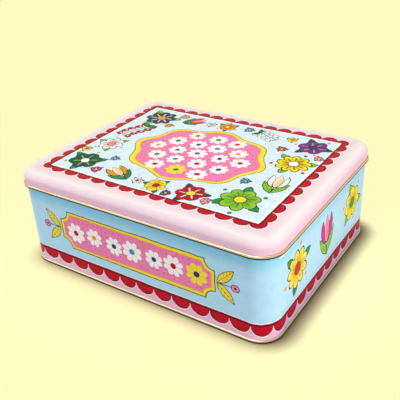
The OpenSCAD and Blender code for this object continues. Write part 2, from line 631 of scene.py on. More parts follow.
# %% The bloom
BLOOM_THIRD = 2 * pi / 3
BLOOM_LEAF = (0.5, 0.62, 0.36)       # its foot, length and width, as shares of the bloom's size
BERRY_OUT, BERRY_R = 0.98, 0.09      # also shares, and so are the next two
PETAL_REACH, EYE_R = 0.8, 0.24
PETAL_FAT = 1.12
BLOOM_SHADE = 0.55                   # the ink by the eye is this much of the petal's
SHADE_FADE = (0.85, 0.25)            # shares of the petals' reach, and so is the streak's end
STREAK_END, STREAK_HALF = 0.72, 0.035
STREAK_SOFT = 0.08                   # how softly the streak ends
STREAK_INSET = 0.8                   # in millimetres from the petal's edge
SHADE_STRENGTH = 0.75
SEAM_LINE = 0.25                     # half the line between two petals, as a share of the pen's width


def third_folded(turns, away):
    """A place in a third of a circle, from its angle in thirds: along the third's middle and across it."""
    fold = (turns - turns.worked("ROUND")) * BLOOM_THIRD
    return away * fold.worked("COSINE"), away * fold.worked("SINE")


def bloom(under, x, y, size, petals, main, second, eye, leaf):
    away = length(x, y)
    pen = pen_width(size)
    third = y.worked("ARCTAN2", x) / BLOOM_THIRD
    leaf_foot, leaf_long, leaf_wide = (size * share for share in BLOOM_LEAF)
    along, across = third_folded(third, away)
    under = leaf_on(under, along - leaf_foot, across, leaf_long, leaf_wide, leaf, pen)
    along, across = third_folded(third + 0.5, away)
    berry = length(along - size * BERRY_OUT, across) - size * BERRY_R
    under = painted(under, filled(berry), second)
    edge, seam, across, share = placed(
        petal_ring, under.tree, X=x, Y=y, Petals=petals, Reach=size * PETAL_REACH, Fat=PETAL_FAT)
    under = painted(under, filled(edge), main)
    shade = filled(edge) * ramped(share, *SHADE_FADE) * SHADE_STRENGTH
    under = painted(under, shade, times(main, BLOOM_SHADE))
    streak = filled(edge + STREAK_INSET) * filled(across - size * STREAK_HALF)
    under = painted(under, streak * filled(share - STREAK_END, STREAK_SOFT), second)
    under = painted(under, lined(edge, pen).most(filled(edge) * filled(seam - pen * SEAM_LINE)), PEN)
    eye_edge = away - size * EYE_R
    under = painted(under, filled(eye_edge), eye)
    return painted(under, lined(eye_edge, pen), PEN)


print("the bloom repeats every", round(BLOOM_THIRD * 180 / pi), "degrees")

# %% [markdown]
# ### A tulip
# The cup is an oval cut off at the top by a row of points. It is the same on
# both sides, so it is drawn from the distance to its stem alone, with one long
# petal in front and a leaf on each side.

# %% The tulip
STEM_HALF = 0.35                     # in millimetres, and all the rest are shares of its size
STEM_TOP, STEM_FOOT = 0.2, -0.98
TULIP_LEAF = (1.15, 0.34)            # length and width
TULIP_LEAF_FOOT, TULIP_LEAF_TURN = -0.92, 58
CUP = (0.28, 0.5, 0.66)              # height of its middle, half width, half height
FRONT_PETAL = (0.22, 0.21, 0.62)
POINTS_AT, POINT_WIDE, POINT_TALL = 0.6, 0.4, 0.42


def oval_edge(x, y, size, middle, half_wide, half_tall):
    """Distance to an upright oval's edge, from shares of the motif's size."""
    wide = size * half_wide
    return (length(x / wide, (y - size * middle) / (size * half_tall)) - 1) * wide


def tulip(under, x, y, size, main, second, leaf):
    side = abs(x)
    pen = pen_width(size)
    stem = (side - STEM_HALF).most(y - size * STEM_TOP).most(size * STEM_FOOT - y)
    under = painted(under, filled(stem), BOTTLE)
    leaf_x, leaf_y = spun_about(side, y - size * TULIP_LEAF_FOOT, TULIP_LEAF_TURN)
    leaf_long, leaf_wide = (size * share for share in TULIP_LEAF)
    under = leaf_on(under, leaf_x, leaf_y, leaf_long, leaf_wide, leaf, pen)
    points = (abs((side / (size * POINT_WIDE)).worked("FRACT") - 0.5) * 2 - 0.5) * (size * POINT_TALL)
    cup = oval_edge(side, y, size, *CUP).most(y - size * POINTS_AT - points)
    under = painted(under, filled(cup), main)
    petal = oval_edge(side, y, size, *FRONT_PETAL)
    under = painted(under, filled(cup) * filled(petal), second)
    return painted(under, lined(cup, pen).most(filled(cup) * lined(petal, pen * INNER_LINE)), PEN)


print("a tulip's stem is", 2 * STEM_HALF, "mm wide")

# %% [markdown]
# ### A sprig of berries
# Pairs of berries hang along a stem that bends a little. The height is rounded
# to the nearest pair, so that the whole row is one berry and one stalk, drawn
# again and again.

# %% The sprig
TWIG_HALF, STALK_HALF = 0.3, 0.16    # in millimetres, and all the rest are shares of its size
BEND, BEND_TURN = 0.1, 2.4 / 13      # how far the twig bends, and radians of its wave to a millimetre
TWIG_REACH, ROWS_REACH = 0.92, 0.95
ROW_STEP = 0.4                       # from pair to pair
STALK_REACH, STALK_RISE, STALK_SLOPE = 0.3, 0.08, 0.35
FRUIT_OUT, FRUIT_R = 0.34, 0.18
SHINE_OUT, SHINE_UP, SHINE_R = 0.3, 0.06, 0.05
SPRIG_LEAF = (0.6, 0.3)              # length and width
SPRIG_LEAF_FOOT, SPRIG_LEAF_TURN = 0.62, 40


def sprig(under, x, y, size, main, second, leaf):
    pen = pen_width(size)
    side = abs(x - (y * BEND_TURN).worked("SINE") * (size * BEND))
    twig = (side - TWIG_HALF).most(abs(y) - size * TWIG_REACH)
    under = painted(under, filled(twig), PEN)
    step = size * ROW_STEP
    row = y / step
    level = (row - row.worked("ROUND")) * step
    inside = filled(abs(y) - size * ROWS_REACH)
    stalk = abs(level + side * STALK_SLOPE - size * STALK_RISE) - STALK_HALF
    under = painted(under, filled(stalk.most(side - size * STALK_REACH)) * inside, PEN)
    fruit = length(side - size * FRUIT_OUT, level) - size * FRUIT_R
    under = painted(under, filled(fruit) * inside, main)
    shine = length(side - size * SHINE_OUT, level - size * SHINE_UP) - size * SHINE_R
    under = painted(under, filled(shine) * inside, second)
    under = painted(under, lined(fruit, pen * INNER_LINE) * inside, PEN)
    leaf_x, leaf_y = spun_about(side, y - size * SPRIG_LEAF_FOOT, SPRIG_LEAF_TURN)
    leaf_long, leaf_wide = (size * share for share in SPRIG_LEAF)
    return leaf_on(under, leaf_x, leaf_y, leaf_long, leaf_wide, leaf, pen)


print("a sprig holds", round(2 / ROW_STEP), "pairs of berries")

# %% [markdown]
# ### One group for all three
# The three drawings share one node group about a spot that is the middle of
# the motif, and its Kind picks the one that shows: 0, 1 or 2. Their colours go
# through the ink wash first, each from another place of its noise, so that
# the blotches of two colours never match.

# %% The posy group
PAINT_POOLING = 0.9
MOTIF_INKS = ("Main", "Second", "Eye", "Leaf")
ink_sockets = {label: "colour" for label in MOTIF_INKS}

posy, (under, spot, size, kind, petals, main, second, eye, leaf) = start_group(
    "posy", {"Under": "colour", "Spot": "spot", "Size": "value", "Kind": "value", "Petals": "value",
             **ink_sockets}, {"Colour": "colour"})
x, y, _ = parted(spot)
main, second, leaf = [
    placed(ink_wash, posy, Colour=wet, Spot=moved(spot, (start, 9, 0)), Pooling=PAINT_POOLING)
    for start, wet in enumerate((main, second, leaf))]
shown = painted(bloom(under, x, y, size, petals, main, second, eye, leaf), kind.worked("GREATER_THAN", 0.5),
                tulip(under, x, y, size, main, second, leaf))
shown = painted(shown, kind.worked("GREATER_THAN", 1.5), sprig(under, x, y, size, main, second, leaf))
end_group(posy, Colour=shown)

# %% [markdown]
# ## Choosing the nearest motif
# Drawing a dozen posies one after another would make a heavy material. It is
# lighter to ask, at each point, which motif is nearest, and to carry that
# motif's place, size and colours into one drawing. This group takes the best
# found so far and one more motif, and passes on the nearer of the two.

# %% The nearer of two motifs
FARTHEST = 9.0             # in motif sizes: a motif farther off than this is never drawn
one_motif = {"Spot": "spot", "Middle": "spot", "Turn": "value", "Size": "value", "Traits": "spot",
             **ink_sockets}
best_so_far = {"Best": "value", "Best Spot": "spot", "Best Traits": "spot",
               **{"Best " + label: "colour" for label in MOTIF_INKS}}

nearer, entries = start_group("nearer motif", {**one_motif, **best_so_far}, best_so_far)
given = dict(zip((*one_motif, *best_so_far), entries))
offset = Measure(vector_sum("SUBTRACT", given["Spot"], given["Middle"]).outputs[0])
distance = Measure(vector_sum("LENGTH", offset).outputs["Value"]) / given["Size"]
turned = nearer.nodes.new("ShaderNodeVectorRotate")
turned.rotation_type = "Z_AXIS"
feed(offset, turned.inputs["Vector"])
feed(given["Turn"], turned.inputs["Angle"])
wins = distance.worked("LESS_THAN", given["Best"])
given["Spot"] = Measure(turned.outputs[0])
end_group(nearer, Best=distance.least(given["Best"]),
          **{"Best " + label: painted(given["Best " + label], wins, given[label])
             for label in ("Spot", "Traits", *MOTIF_INKS)})


def posies(under, spot, motifs):
    """Draws motifs (x, y, size, kind, petals, turn, main, second, eye, leaf), each where it is nearest."""
    tree = under.tree
    best = {"Best": FARTHEST}
    for x, y, size, kind, petals, turn, *inks in motifs:
        nearest = placed(nearer, tree, Spot=spot, Middle=(x, y, 0), Turn=radians(-turn), Size=size,
                         Traits=(size, kind, petals), **dict(zip(MOTIF_INKS, inks)), **best)
        best = dict(zip(best_so_far, nearest))
    size, kind, petals = parted(best["Best Traits"])
    return placed(posy, tree, Under=under, Spot=best["Best Spot"], Size=size, Kind=kind, Petals=petals,
                  **{label: best["Best " + label] for label in MOTIF_INKS})


print("the nearer of two motifs is chosen from", len(entries), "entries")

# %% [markdown]
# ## White daisies on pink
# The middle of the lid and the long label on the walls are pink, pin-dotted,
# and strewn with white daisies. One group draws a staggered field of them from
# the spacing of its rows. The place is rounded to the nearest daisy's middle,
# and white noise read at that daisy's row and column gives it its own stray,
# size and colours.

# %% Where the daisies stand
DAISY_STRAY = 1.6          # a daisy strays by up to half of this each way, in millimetres
SIZE_SPREAD = (0.14, 0.9)  # how much the sizes vary, and the smallest, as shares of the reach
LUCK_AT = (3.7, 8.2)       # where in the noise the field starts

daisies, (under, spot, cell_x, cell_y, stagger, room_x, room_y, reach) = start_group(
    "daisy field", {"Under": "colour", "Spot": "spot", "Cell X": "value", "Cell Y": "value",
                    "Stagger": "value", "Room X": "value", "Room Y": "value", "Reach": "value"},
    {"Colour": "colour"})
x, y, _ = parted(spot)
row = (y / cell_y).worked("ROUND")
shift = row.worked("PINGPONG", 1) * stagger
column = ((x - shift) / cell_x).worked("ROUND")
mid_x = column * cell_x + shift
mid_y = row * cell_y
luck = daisies.nodes.new("ShaderNodeTexWhiteNoise")
luck.noise_dimensions = "2D"
feed(spot_at(column + LUCK_AT[0], row + LUCK_AT[1]), luck.inputs["Vector"])
luck_x, luck_y, luck_z = parted(Measure(luck.outputs["Color"]))
near_x = x - mid_x - (luck_x - 0.5) * DAISY_STRAY
near_y = y - mid_y - (luck_y - 0.5) * DAISY_STRAY
daisy_size = reach * (luck_z * SIZE_SPREAD[0] + SIZE_SPREAD[1])
print("daisies stray by", DAISY_STRAY / 2, "mm each way")

# %% [markdown]
# ### Drawing a daisy
# A ring of white petals, with a thin shadow of rose between them, stands round
# an eye in one of six inks, and a few daisies are yellow. A daisy whose middle
# is outside the room that the group is given is left out, so that no flower is
# cut by the border.

# %% Draw the daisies
EYES = [SKY, RED, ORANGE, GREEN, NAVY, PURPLE]
DAISY_PETALS, DAISY_FAT = 8.0, 1.05
DAISY_EYE = 0.27           # as a share of its size
DAISY_TURN = 20
GAP_HALF, GAP_SHARE = 0.22, 0.5      # the rose between two petals: how wide and how strong
YELLOW_ABOVE = 0.78        # the few luckiest daisies have yellow petals

in_room = length(mid_x / room_x, mid_y / room_y).worked("LESS_THAN", 1)
turn_x, turn_y = spun_about(near_x, near_y, DAISY_TURN)
edge, seam, _, _ = placed(
    petal_ring, daisies, X=turn_x, Y=turn_y, Petals=DAISY_PETALS, Reach=daisy_size, Fat=DAISY_FAT)
petals_mask = filled(edge) * in_room
lucky = ((luck_x + luck_z) * 0.5).worked("GREATER_THAN", YELLOW_ABOVE)
shown = painted(under, petals_mask, painted(WHITE, lucky, YELLOW))
shown = painted(shown, petals_mask * filled(seam - GAP_HALF) * GAP_SHARE, ROSE_DOT)
palette = daisies.nodes.new("ShaderNodeValToRGB")
palette.color_ramp.interpolation = "CONSTANT"
for number, colour in enumerate(EYES):
    stop = palette.color_ramp.elements[number] if number < 2 else palette.color_ramp.elements.new(0.5)
    stop.position = number / len(EYES)
    stop.color = colour
feed(luck.outputs["Value"], palette.inputs[0])
eye = length(near_x, near_y) - daisy_size * DAISY_EYE
shown = painted(shown, filled(eye) * in_room, Measure(palette.outputs[0]))
end_group(daisies, Colour=shown)

# %% [markdown]
# ## Varnish
# The printed sides are under clear varnish with a very fine orange peel, a few
# thousandths of a millimetre high, and the panels under it are never quite
# flat. Neither is worth modelling, so a Bump node leans the light instead. The
# gloss is kept low and uneven, because the lithographed tin of such boxes is
# closer to satin than to glass.

# %% The varnish
VARNISH_SPECULAR = 0.04
COAT_SHARE = 0.06
COAT_ROUGHNESS = 0.16
SATIN = 0.24               # the least roughness of the print
PEEL_LUMPS, CLOUD_LUMPS, WAVE_LUMPS = 1.6, 0.03, 0.012      # lumps to a millimetre
PEEL_H, WAVE_H = 0.004, 0.35                                # heights in millimetres
CLOUD_ROUGH, PEEL_ROUGH = 0.14, 0.05                        # what each adds to the roughness

varnish, (spot,) = start_group("varnish", {"Spot": "spot"}, {"Roughness": "value", "Height": "value"})
peel = noise(spot, PEEL_LUMPS, detail=2, flat=False)[0]
cloud = noise(spot, CLOUD_LUMPS, detail=3, flat=False)[0]
panel_wave = noise(spot, WAVE_LUMPS, detail=1, flat=False)[0]
end_group(varnish, Roughness=cloud * CLOUD_ROUGH + (peel * PEEL_ROUGH + SATIN),
          Height=peel * PEEL_H + panel_wave * WAVE_H)


def surface_relief(height, shader):
    """Feeds a height in millimetres through a Bump node."""
    bump = shader.id_data.nodes.new("ShaderNodeBump")
    bump.inputs["Distance"].default_value = MM
    feed(height, bump.inputs["Height"])
    feed(bump.outputs[0], shader.inputs["Normal"])


def varnished(shader, spot):
    """Clear varnish over print: soft gloss below, a sharper coat above."""
    rough, height = placed(varnish, spot.tree, Spot=spot)
    feed(rough, shader.inputs["Roughness"])
    surface_relief(height, shader)
    shader.inputs["Specular IOR Level"].default_value = VARNISH_SPECULAR
    shader.inputs["Coat Weight"].default_value = COAT_SHARE
    shader.inputs["Coat Roughness"].default_value = COAT_ROUGHNESS


print("coat:", COAT_SHARE, "of full, roughness", COAT_ROUGHNESS)

# %% [markdown]
# ## The grain of tinplate
# Bare tinplate shows the grain of its rolling, long and fine in one direction,
# and the faint patches of its crystals. The grain is noise on a stretched
# place, and the patches are the cells of a Voronoi texture. One group puts out
# a tone, a roughness and a height, and the finish that uses it sets the rest.

# %% Tin grain, and how a finish starts
ROLLED = (0.06, 3.0, 3.0)  # lumps to a millimetre: long with the rolling, fine across it
CRYSTALS, SMEARS = 0.14, 0.05
GRAIN_H = 0.0015           # height of the grain, in millimetres
GRAIN_TONE, PATCH_TONE, SMEAR_TONE, DARKEST = 0.16, 0.05, 0.14, 0.8     # what each adds to the darkest tone
GRAIN_ROUGH, PATCH_ROUGH, SMEAR_ROUGH, SMOOTHEST = 0.1, 0.04, 0.16, 0.22

tin_grain, (spot,) = start_group("tin grain", {"Spot": "spot"},
                                 {"Tone": "value", "Roughness": "value", "Height": "value"})
stretched = Measure(vector_sum("MULTIPLY", spot, ROLLED).outputs[0])
lines = noise(stretched, 1.0, detail=3, flat=False)[0]
crystal = tin_grain.nodes.new("ShaderNodeTexVoronoi")
feed(spot, crystal.inputs["Vector"])
crystal.inputs["Scale"].default_value = CRYSTALS
patch = parted(Measure(crystal.outputs["Color"]))[0]
smear = noise(spot, SMEARS, detail=3, flat=False)[0]
end_group(tin_grain,
          Tone=lines * GRAIN_TONE + (patch * PATCH_TONE + (smear * SMEAR_TONE + DARKEST)),
          Roughness=lines * GRAIN_ROUGH + (smear * SMEAR_ROUGH + (patch * PATCH_ROUGH + SMOOTHEST)),
          Height=lines * GRAIN_H)


def start_finish(name):
    """A new material: its tree, its shader and the place on the object in millimetres."""
    material = bpy.data.materials.new(name)
    material.use_nodes = True
    tree = material.node_tree
    shader = tree.nodes["Principled BSDF"]
    where = tree.nodes.new("ShaderNodeTexCoord")
    to_mm = tree.nodes.new("ShaderNodeMapping")
    to_mm.inputs["Scale"].default_value = (1 / MM, 1 / MM, 1 / MM)
    tree.links.new(where.outputs["Object"], to_mm.inputs["Vector"])
    return material, tree, shader, Measure(to_mm.outputs[0])


print("a finish is measured in steps of", MM * 1000, "mm")

# %% [markdown]
# ## Bare tinplate
# The inside of the lid and wall, the base and every rolled edge is unprinted
# metal under a thin gold lacquer. It is a little warm, and its rolling marks
# run along the length of the tin. The foot of each rolled edge is painted
# with a fine dark line of shade, where the roll turns under. A second, fainter
# line on the lid's rim is a painted dark reflection, as a round polished roll
# shows. Both belong to the outside only, so masks by height and by distance
# from the skirt keep them off the inside of the tin.

# %% The bare tin finish
RIM_SHADE_REACH = 1.3             # how far up the lid's rim the painted shade reaches, in millimetres
SEAM_SHADE_REACH = 1.15           # and how far up the foot seam
RIM_REFLECTION_H = 1.9            # height above the rim's foot of a painted dark reflection along the rim
RIM_REFLECTION_HALF = 0.16
SEAM_TOP = 2.2             # height of the foot seam
INNER_WALL = -0.7          # anything nearer the middle than this, at the lid's rim, is an inside
UNDER_RIM = 1              # the rim's marks may begin this far under its foot
BARE_EDGE = 0.3            # how softly these marks begin
RIM_REFLECTION_SHARE = 0.6      # how strong the painted reflection is
SHADE_ROUGH = 0.5           # added to the roughness where the shade is painted
SHADE_HIDES = 0.9           # how much of the metal the painted shade hides there
TINPLATE = ink(222, 221, 214)
OUTSIDE_TIN = ink(228, 210, 198)
# painted shade on the lowest part of each rolled edge
PAINTED_EDGE_SHADE = ink(46, 44, 30)
# the colour of a painted dark reflection along the lid's rim
PAINTED_RIM_REFLECTION = ink(120, 108, 70)

bare_tin, tree, shader, spot = start_finish("bare_tin")
tone, rough, height = placed(tin_grain, tree, Spot=spot)
x, y, up_mm = parted(spot)
out_mm = length((abs(x) - CORE_X / MM).most(0), (abs(y) - CORE_Y / MM).most(0)) - CORNER_R / MM
over_foot = up_mm - RIM_FOOT / MM
rolled_rim = (INNER_WALL - out_mm).most(-UNDER_RIM - over_foot)
foot_seam = ((WALL - PITCH) / MM - out_mm).most(up_mm - SEAM_TOP)
metal = painted(TINPLATE, filled(rolled_rim.least(foot_seam), BARE_EDGE), OUTSIDE_TIN)
# painted shade on the lowest part of the lid's rim and of the foot seam
rim_shade = rolled_rim.most(over_foot - RIM_SHADE_REACH)
seam_shade = foot_seam.most(up_mm - SEAM_SHADE_REACH)
wash_pool_and_painted_shade = filled(rim_shade.least(seam_shade), BARE_EDGE)
metal = painted(metal, wash_pool_and_painted_shade, PAINTED_EDGE_SHADE)
# a painted dark reflection: a fine line along the middle of the lid's rim
rim_reflection = rolled_rim.most(abs(over_foot - RIM_REFLECTION_H) - RIM_REFLECTION_HALF)
metal = painted(metal, filled(rim_reflection, BARE_EDGE) * RIM_REFLECTION_SHARE, PAINTED_RIM_REFLECTION)
feed(times(metal, tone), shader.inputs["Base Color"])
# where the shade is painted the metal is rougher and less metallic, so that it stays dark
feed(rough + wash_pool_and_painted_shade * SHADE_ROUGH, shader.inputs["Roughness"])
feed(1 - wash_pool_and_painted_shade * SHADE_HIDES, shader.inputs["Metallic"])
surface_relief(height, shader)
print("bare tin:", len(tree.nodes), "nodes")

# %% [markdown]
# ## The lid's print: its grounds
# The lid is printed pale pink. The ink is deeper beside the edging and pales
# towards the shoulder, where the lightest pink is a painted highlight. Down
# the shoulder and skirt it deepens, partly as print and partly as painted
# shade. A pale blue panel fills the top, with a white line inside its edge.
# The grounds are laid first and everything else is painted over them, as a
# printer runs the lightest inks first.

# %% Where the lid's pattern lies, in millimetres
PANEL_Y = 0.9              # the panel is printed a little behind the middle
PANEL_HALF_X = 82.5
PANEL_HALF_Y = 62.3
WHITE_LINE = (1.1, 1.8)    # how far inside the panel's edge, and how wide
RED_LINE = (0.1, 0.9)      # the same, for the line that the scallops stand on
BORDER_FADE = (7, 12.5)    # distances out from the panel, over which the pink pales to a painted highlight
SHOULDER_FADE = (0.05, 0.9)          # distances down from the top, where the pink deepens as print and painted shade
SKIRT_FADE = (0.9, 5.5)
PINK_POOLING, BLUE_POOLING = 0.07, 0.22

lid_print, tree, shader, place = start_finish("lid_print")
_, _, up_mm = parted(place)
ruled = placed(hand_wobble, tree, Spot=moved(place, (0, -PANEL_Y, 0)), Swing=RULED_SWING)
x, y, _ = parted(ruled)
side_x, side_y = abs(x) - PANEL_HALF_X, abs(y) - PANEL_HALF_Y

down = TIN_H / MM - up_mm
panel = side_x.most(side_y)
# deeper pink by the edging, paling to a painted highlight at the shoulder, then deepening down it as print
# and painted shade
colour = painted(BORDER_PINK, ramped(panel, *BORDER_FADE), LID_PINK)
colour = painted(colour, ramped(down, *SHOULDER_FADE), SHOULDER_PINK_AND_SHADE)
colour = painted(colour, ramped(down, *SKIRT_FADE), SKIRT_PINK_AND_SHADE)
colour = placed(ink_wash, tree, Colour=colour, Spot=ruled, Pooling=PINK_POOLING)
blue = placed(ink_wash, tree, Colour=PANEL_BLUE, Spot=ruled, Pooling=BLUE_POOLING)
colour = painted(colour, filled(panel), blue)
colour = painted(colour, lined(panel + WHITE_LINE[0], WHITE_LINE[1]), WHITE)
print("panel", 2 * PANEL_HALF_X, "x", 2 * PANEL_HALF_Y, "mm")

# %% [markdown]
# ### The edging round the panel
# A whole number of scallops runs along each side, and a round one covers each
# corner, where two rows would meet badly. A thin pale ring is left round them,
# because inks that touch always show a little of the ground between.

# %% The edging
EDGING_DEPTH = 5.7
LID_NOTCH = 0.08           # how much of the depth is left between two scallops
FRONT_PITCH = 12.0
FRONT_RUN = 6.5 * FRONT_PITCH
SIDE_PITCH = 11.8
SIDE_RUN = 5 * SIDE_PITCH
CORNER_DISC = 5.0          # radius of the round scallop at a corner
DISC_INSET = 0.6           # its middle is this far inside the panel's corner
EDGING_RING = 0.7          # width of the pale ring round the edging

front_row = placed(scallop_row, tree, Along=x + FRONT_RUN, Out=side_y, Pitch=FRONT_PITCH, Depth=EDGING_DEPTH,
                   Notch=LID_NOTCH)
front_row = front_row.most(abs(x) - FRONT_RUN)
side_row = placed(scallop_row, tree, Along=y + SIDE_RUN, Out=side_x, Pitch=SIDE_PITCH, Depth=EDGING_DEPTH,
                  Notch=LID_NOTCH)
side_row = side_row.most(abs(y) - SIDE_RUN)
disc = (length(side_x + DISC_INSET, side_y + DISC_INSET) - CORNER_DISC).most(-panel)
edging = front_row.least(side_row).least(disc)
colour = painted(colour, filled(edging - EDGING_RING), LID_PINK)
colour = edged(colour, edging, ruled)
colour = painted(colour, lined(panel + RED_LINE[0], RED_LINE[1]), DEEP_RED)
print("scallops round the panel:", round(4 * (FRONT_RUN / FRONT_PITCH + SIDE_RUN / SIDE_PITCH)) + 4)

# %% [markdown]
# ### Posies on the panel
# Each row of the list is one motif: its place and size in millimetres, which
# drawing it is, its petals, how far it is turned, and its inks. They are
# listed large ones first, with small blossoms in the gaps. The place
# they are drawn on wobbles more than the ruled edging does, and the blue under
# them is strewn with fine specks first.

# %% The posies round the medallion
BLOOM, TULIP, SPRIG = 0, 1, 2
PANEL_POSIES = [
    (-64, 44, 15.5, BLOOM, 8, 12, NAVY, CREAM, ORANGE, LIME),
    (-35, 50, 11, TULIP, 5, -50, MAGENTA, ORANGE, YELLOW, GREEN),
    (-6, 52, 8.5, BLOOM, 5, 40, ORANGE, RED, YELLOW, GREEN),
    (29, 50, 12, SPRIG, 5, 78, WHITE, LIME, YELLOW, GREEN),
    (67, 46, 13.5, BLOOM, 6, 0, PURPLE, ROSE, NAVY, BOTTLE),
    (66, 16, 15, BLOOM, 9, 20, LEMON, RED, WHITE, LIME),
    (69, -14, 14, TULIP, 5, 8, WHITE, CREAM, YELLOW, LIME),
    (59, -43, 16.5, BLOOM, 7, -25, LIME, GREEN, YELLOW, GREEN),
    (28, -50, 12, BLOOM, 6, 10, RED, WHITE, YELLOW, BOTTLE),
    (2, -52, 9.5, BLOOM, 5, 60, YELLOW, ORANGE, RED, GREEN),
    (-31, -49, 13, TULIP, 5, 62, ORANGE, CREAM, YELLOW, GREEN),
    (-65, -45, 14.5, BLOOM, 6, 30, BOTTLE, LIME, WHITE, GREEN),
    (-67, -14, 12, BLOOM, 8, 50, WHITE, ROSE, ORANGE, LIME),
    (-67, 15, 15, SPRIG, 5, -12, RED, WHITE, YELLOW, GREEN),
    (-48, 54, 4.6, BLOOM, 5, 0, ROSE, WHITE, YELLOW, GREEN),
    (-20, 50, 4.4, BLOOM, 5, 30, WHITE, RED, ORANGE, GREEN),
    (11, 54, 4.8, BLOOM, 6, 10, SKY, WHITE, YELLOW, LIME),
    (48, 52, 4.6, BLOOM, 5, 50, YELLOW, RED, ORANGE, GREEN),
    (49, 34, 4.8, BLOOM, 6, 20, RED, WHITE, YELLOW, LIME),
    (78, 31, 4.2, BLOOM, 5, 0, ROSE, WHITE, YELLOW, GREEN),
    (50, -20, 4.2, BLOOM, 5, 15, SKY, WHITE, YELLOW, GREEN),
    (41, -54, 4.4, BLOOM, 5, 40, ROSE, WHITE, YELLOW, LIME),
    (14, -57, 4.2, BLOOM, 5, 5, PURPLE, ROSE, YELLOW, GREEN),
    (-13, -52, 4.4, BLOOM, 6, 25, WHITE, RED, RED, GREEN),
    (-48, -52, 4.8, BLOOM, 5, 60, MAGENTA, WHITE, YELLOW, LIME),
    (-78, -29, 4.6, BLOOM, 5, 35, YELLOW, ORANGE, RED, GREEN),
    (-48, -33, 4.2, BLOOM, 6, 0, SKY, WHITE, YELLOW, GREEN),
    (-49, 34, 4.4, BLOOM, 5, 10, ORANGE, RED, YELLOW, LIME),
]
SPECK_R = 0.3              # fine specks on the blue, which begin at this margin from its edge
SPECK_MARGIN = 3
SPECK_SHARE = 0.45         # how strong their ink is
SPECKS_AT = (31, 17, 0)    # so that they don't fall where the medallion's dots do

free = placed(hand_wobble, tree, Spot=moved(place, (0, -PANEL_Y, 0)), Swing=FREE_SWING)
x, y, _ = parted(free)
specks = placed(pin_dots, tree, Spot=moved(free, SPECKS_AT), Radius=SPECK_R)
colour = painted(colour, filled(specks) * filled(panel + SPECK_MARGIN) * SPECK_SHARE, NAVY)
colour = posies(colour, spot_at(x, y), PANEL_POSIES)
print(len(PANEL_POSIES), "motifs on the panel")

# %% [markdown]
# ### A rose ground in a yellow border
# The medallion on the lid and the label on the wall are painted alike: yellow
# over the whole shape, a wash of rose inside the border, pin dots that keep
# clear of it, and a pen line along each of its edges. One helper does this for
# any shape that is given as a distance.

# %% The rose ground
ROSE_POOLING = 0.16
DOT_R = 0.42
DOTS_CLEAR = 0.6           # the dots keep off the border by this much


def rose_ground(under, shape, border, spot, outer_pen, inner_pen):
    """Paints the shape yellow, and rose within a border as wide as that."""
    inner = shape + border
    under = painted(under, filled(shape), YELLOW)
    rose = placed(ink_wash, under.tree, Colour=ROSE, Spot=spot, Pooling=ROSE_POOLING)
    under = painted(under, filled(inner), rose)
    dots = placed(pin_dots, under.tree, Spot=spot, Radius=DOT_R)
    under = painted(under, filled(dots) * filled(inner + DOTS_CLEAR), ROSE_DOT)
    under = painted(under, lined(shape, outer_pen), OLIVE)
    return painted(under, lined(inner, inner_pen), ORANGE)


print("a pin dot is", 2 * DOT_R, "mm wide")

# %% [markdown]
# ### The medallion
# The middle is a lobed oval with daisies, and its border is thicker in some
# places than in others. Its lobes come from a cosine of the angle, and its
# distance to the edge is measured along the line to the middle, which is close
# enough for a shape as round as this one.

# %% The medallion
MEDALLION_X = 50.5
MEDALLION_Y = 40.5
LOBES = 8
LOBE_DEPTH = 0.045
BORDER_WIDE = (3.4, 1.1)   # the border's middling width, and how much that varies
BORDER_SWELLS = 2          # how often it swells on the way round
BORDER_START = 0.8         # and how far on it starts, in radians
HALO = 1.2                 # the plain blue left round the medallion
IN_MEDALLION = 0.78        # a daisy's middle is within this share of the oval
MEDALLION_PEN = 0.6

angle = (y / MEDALLION_Y).worked("ARCTAN2", x / MEDALLION_X)
lobes = (angle * LOBES).worked("COSINE") * LOBE_DEPTH + 1
oval = length(x / MEDALLION_X, y / MEDALLION_Y)
medallion = length(x, y) * (1 - lobes / oval)
border = (angle * BORDER_SWELLS + BORDER_START).worked("SINE") * BORDER_WIDE[1] + BORDER_WIDE[0]
colour = painted(colour, filled(medallion - HALO), PANEL_BLUE)
colour = rose_ground(colour, medallion, border, free, MEDALLION_PEN, MEDALLION_PEN)
colour = placed(daisies, tree, Under=colour, Spot=free, **{
    "Cell X": 17.2, "Cell Y": 13.4, "Stagger": 8.6, "Reach": 7.2,
    "Room X": MEDALLION_X * IN_MEDALLION, "Room Y": MEDALLION_Y * IN_MEDALLION})
feed(colour, shader.inputs["Base Color"])
varnished(shader, place)
print("lid print:", len(tree.nodes), "nodes")

# %% [markdown]
# ## The wall's print: its ground
# The wall is printed as a strip, so its pattern reads the wrap map and not the
# place in space. The distance along the strip is counted from the middle of
# the nearer long side, and again from the middle of the nearer short side, so
# that what is drawn once comes twice. The ground is pale blue and deepens
# towards the top, partly as print and partly as painted shade under the lid.
# On the two short sides a fine white line runs just under the closed lid.

# %% Where the wall's pattern lies, in millimetres
WALL_CORNER_R = CORNER_R + WALL + SHEET / 2
QUARTER = WALL_CORNER_R * pi / 2
HALF_ROUND = 2 * CORE_X + 2 * CORE_Y + 2 * QUARTER
HALF_STRIP = HALF_ROUND / MM
BLUE_DEEPENS = (50, 61)    # heights
DEEP_SHARE = 0.55          # how much of the deep blue, partly painted shade under the lid, is mixed in at the top
LID_LINE, LID_LINE_WIDE = 58.2, 1.3  # height and width of the white line under the closed lid
LID_LINE_HALF = 66         # how far it runs each way from the middle of a short side
LID_LINE_FADE = 4
WALL_POOLING = 0.16

